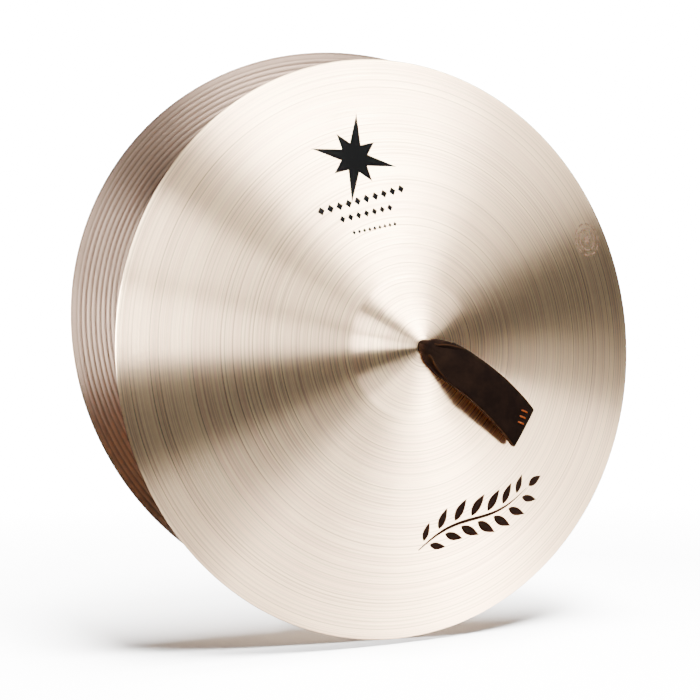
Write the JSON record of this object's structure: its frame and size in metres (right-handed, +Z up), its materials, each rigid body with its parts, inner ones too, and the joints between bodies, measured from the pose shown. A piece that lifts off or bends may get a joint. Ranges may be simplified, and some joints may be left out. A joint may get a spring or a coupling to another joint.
{
  "type": "hand cymbals",
  "caption": "Pair of large bronze hand cymbals with leather straps, held mouth to mouth and slightly open, with plates that part and meet, turning straps and swinging strap loops.",
  "frame": {"origin": "centre of the hole in the front cymbal's bell, level with the outside of the bell, where its strap comes out", "axes": "-Y out of the front bell along the front cymbal's axis, +Z up as the pair is held, +X to the right seen from in front of the front bell"},
  "size_m": [0.5169, 0.1812, 0.5338],
  "materials": {
    "bronze": "lathed cast bronze, fine concentric grooves, clear traditional finish",
    "leather": "dark brown strap leather, smooth side out, raw edges"
  },
  "bodies": {
    "front_plate": {"front_plate": "bronze"},
    "front_neck": {"front_strap_neck": "leather", "front_strap_knot": "leather"},
    "front_loop": {"front_strap_loop": "leather"},
    "rear_plate": {"rear_plate": "bronze"},
    "rear_neck": {"rear_strap_neck": "leather", "rear_strap_knot": "leather"},
    "rear_loop": {"rear_strap_loop": "leather"}
  },
  "joints": [
    {"name": "plates_part", "type": "slide", "parent": "front_plate", "child": "rear_plate", "axis": [0, 1, 0], "range_m": [-0.0065, 0.35]},
    {"name": "front_strap_swivel", "type": "hinge", "parent": "front_plate", "child": "front_neck", "pos_m": [0, 0, 0], "axis": [0, -1, 0], "continuous": true},
    {"name": "front_strap_swing", "type": "hinge", "parent": "front_neck", "child": "front_loop", "pos_m": [0, -0.003, 0], "axis": [-0.5446, 0, -0.8387], "range_deg": [0, 110]},
    {"name": "rear_strap_swivel", "type": "hinge", "parent": "rear_plate", "child": "rear_neck", "pos_m": [-0.00424, 0.15134, 0.02181], "axis": [0.1844, 0.9755, -0.1197], "continuous": true},
    {"name": "rear_strap_swing", "type": "hinge", "parent": "rear_neck", "child": "rear_loop", "pos_m": [-0.00369, 0.15426, 0.02145], "axis": [0.9826, -0.1857, 0], "range_deg": [-14, 95]}
  ]
}
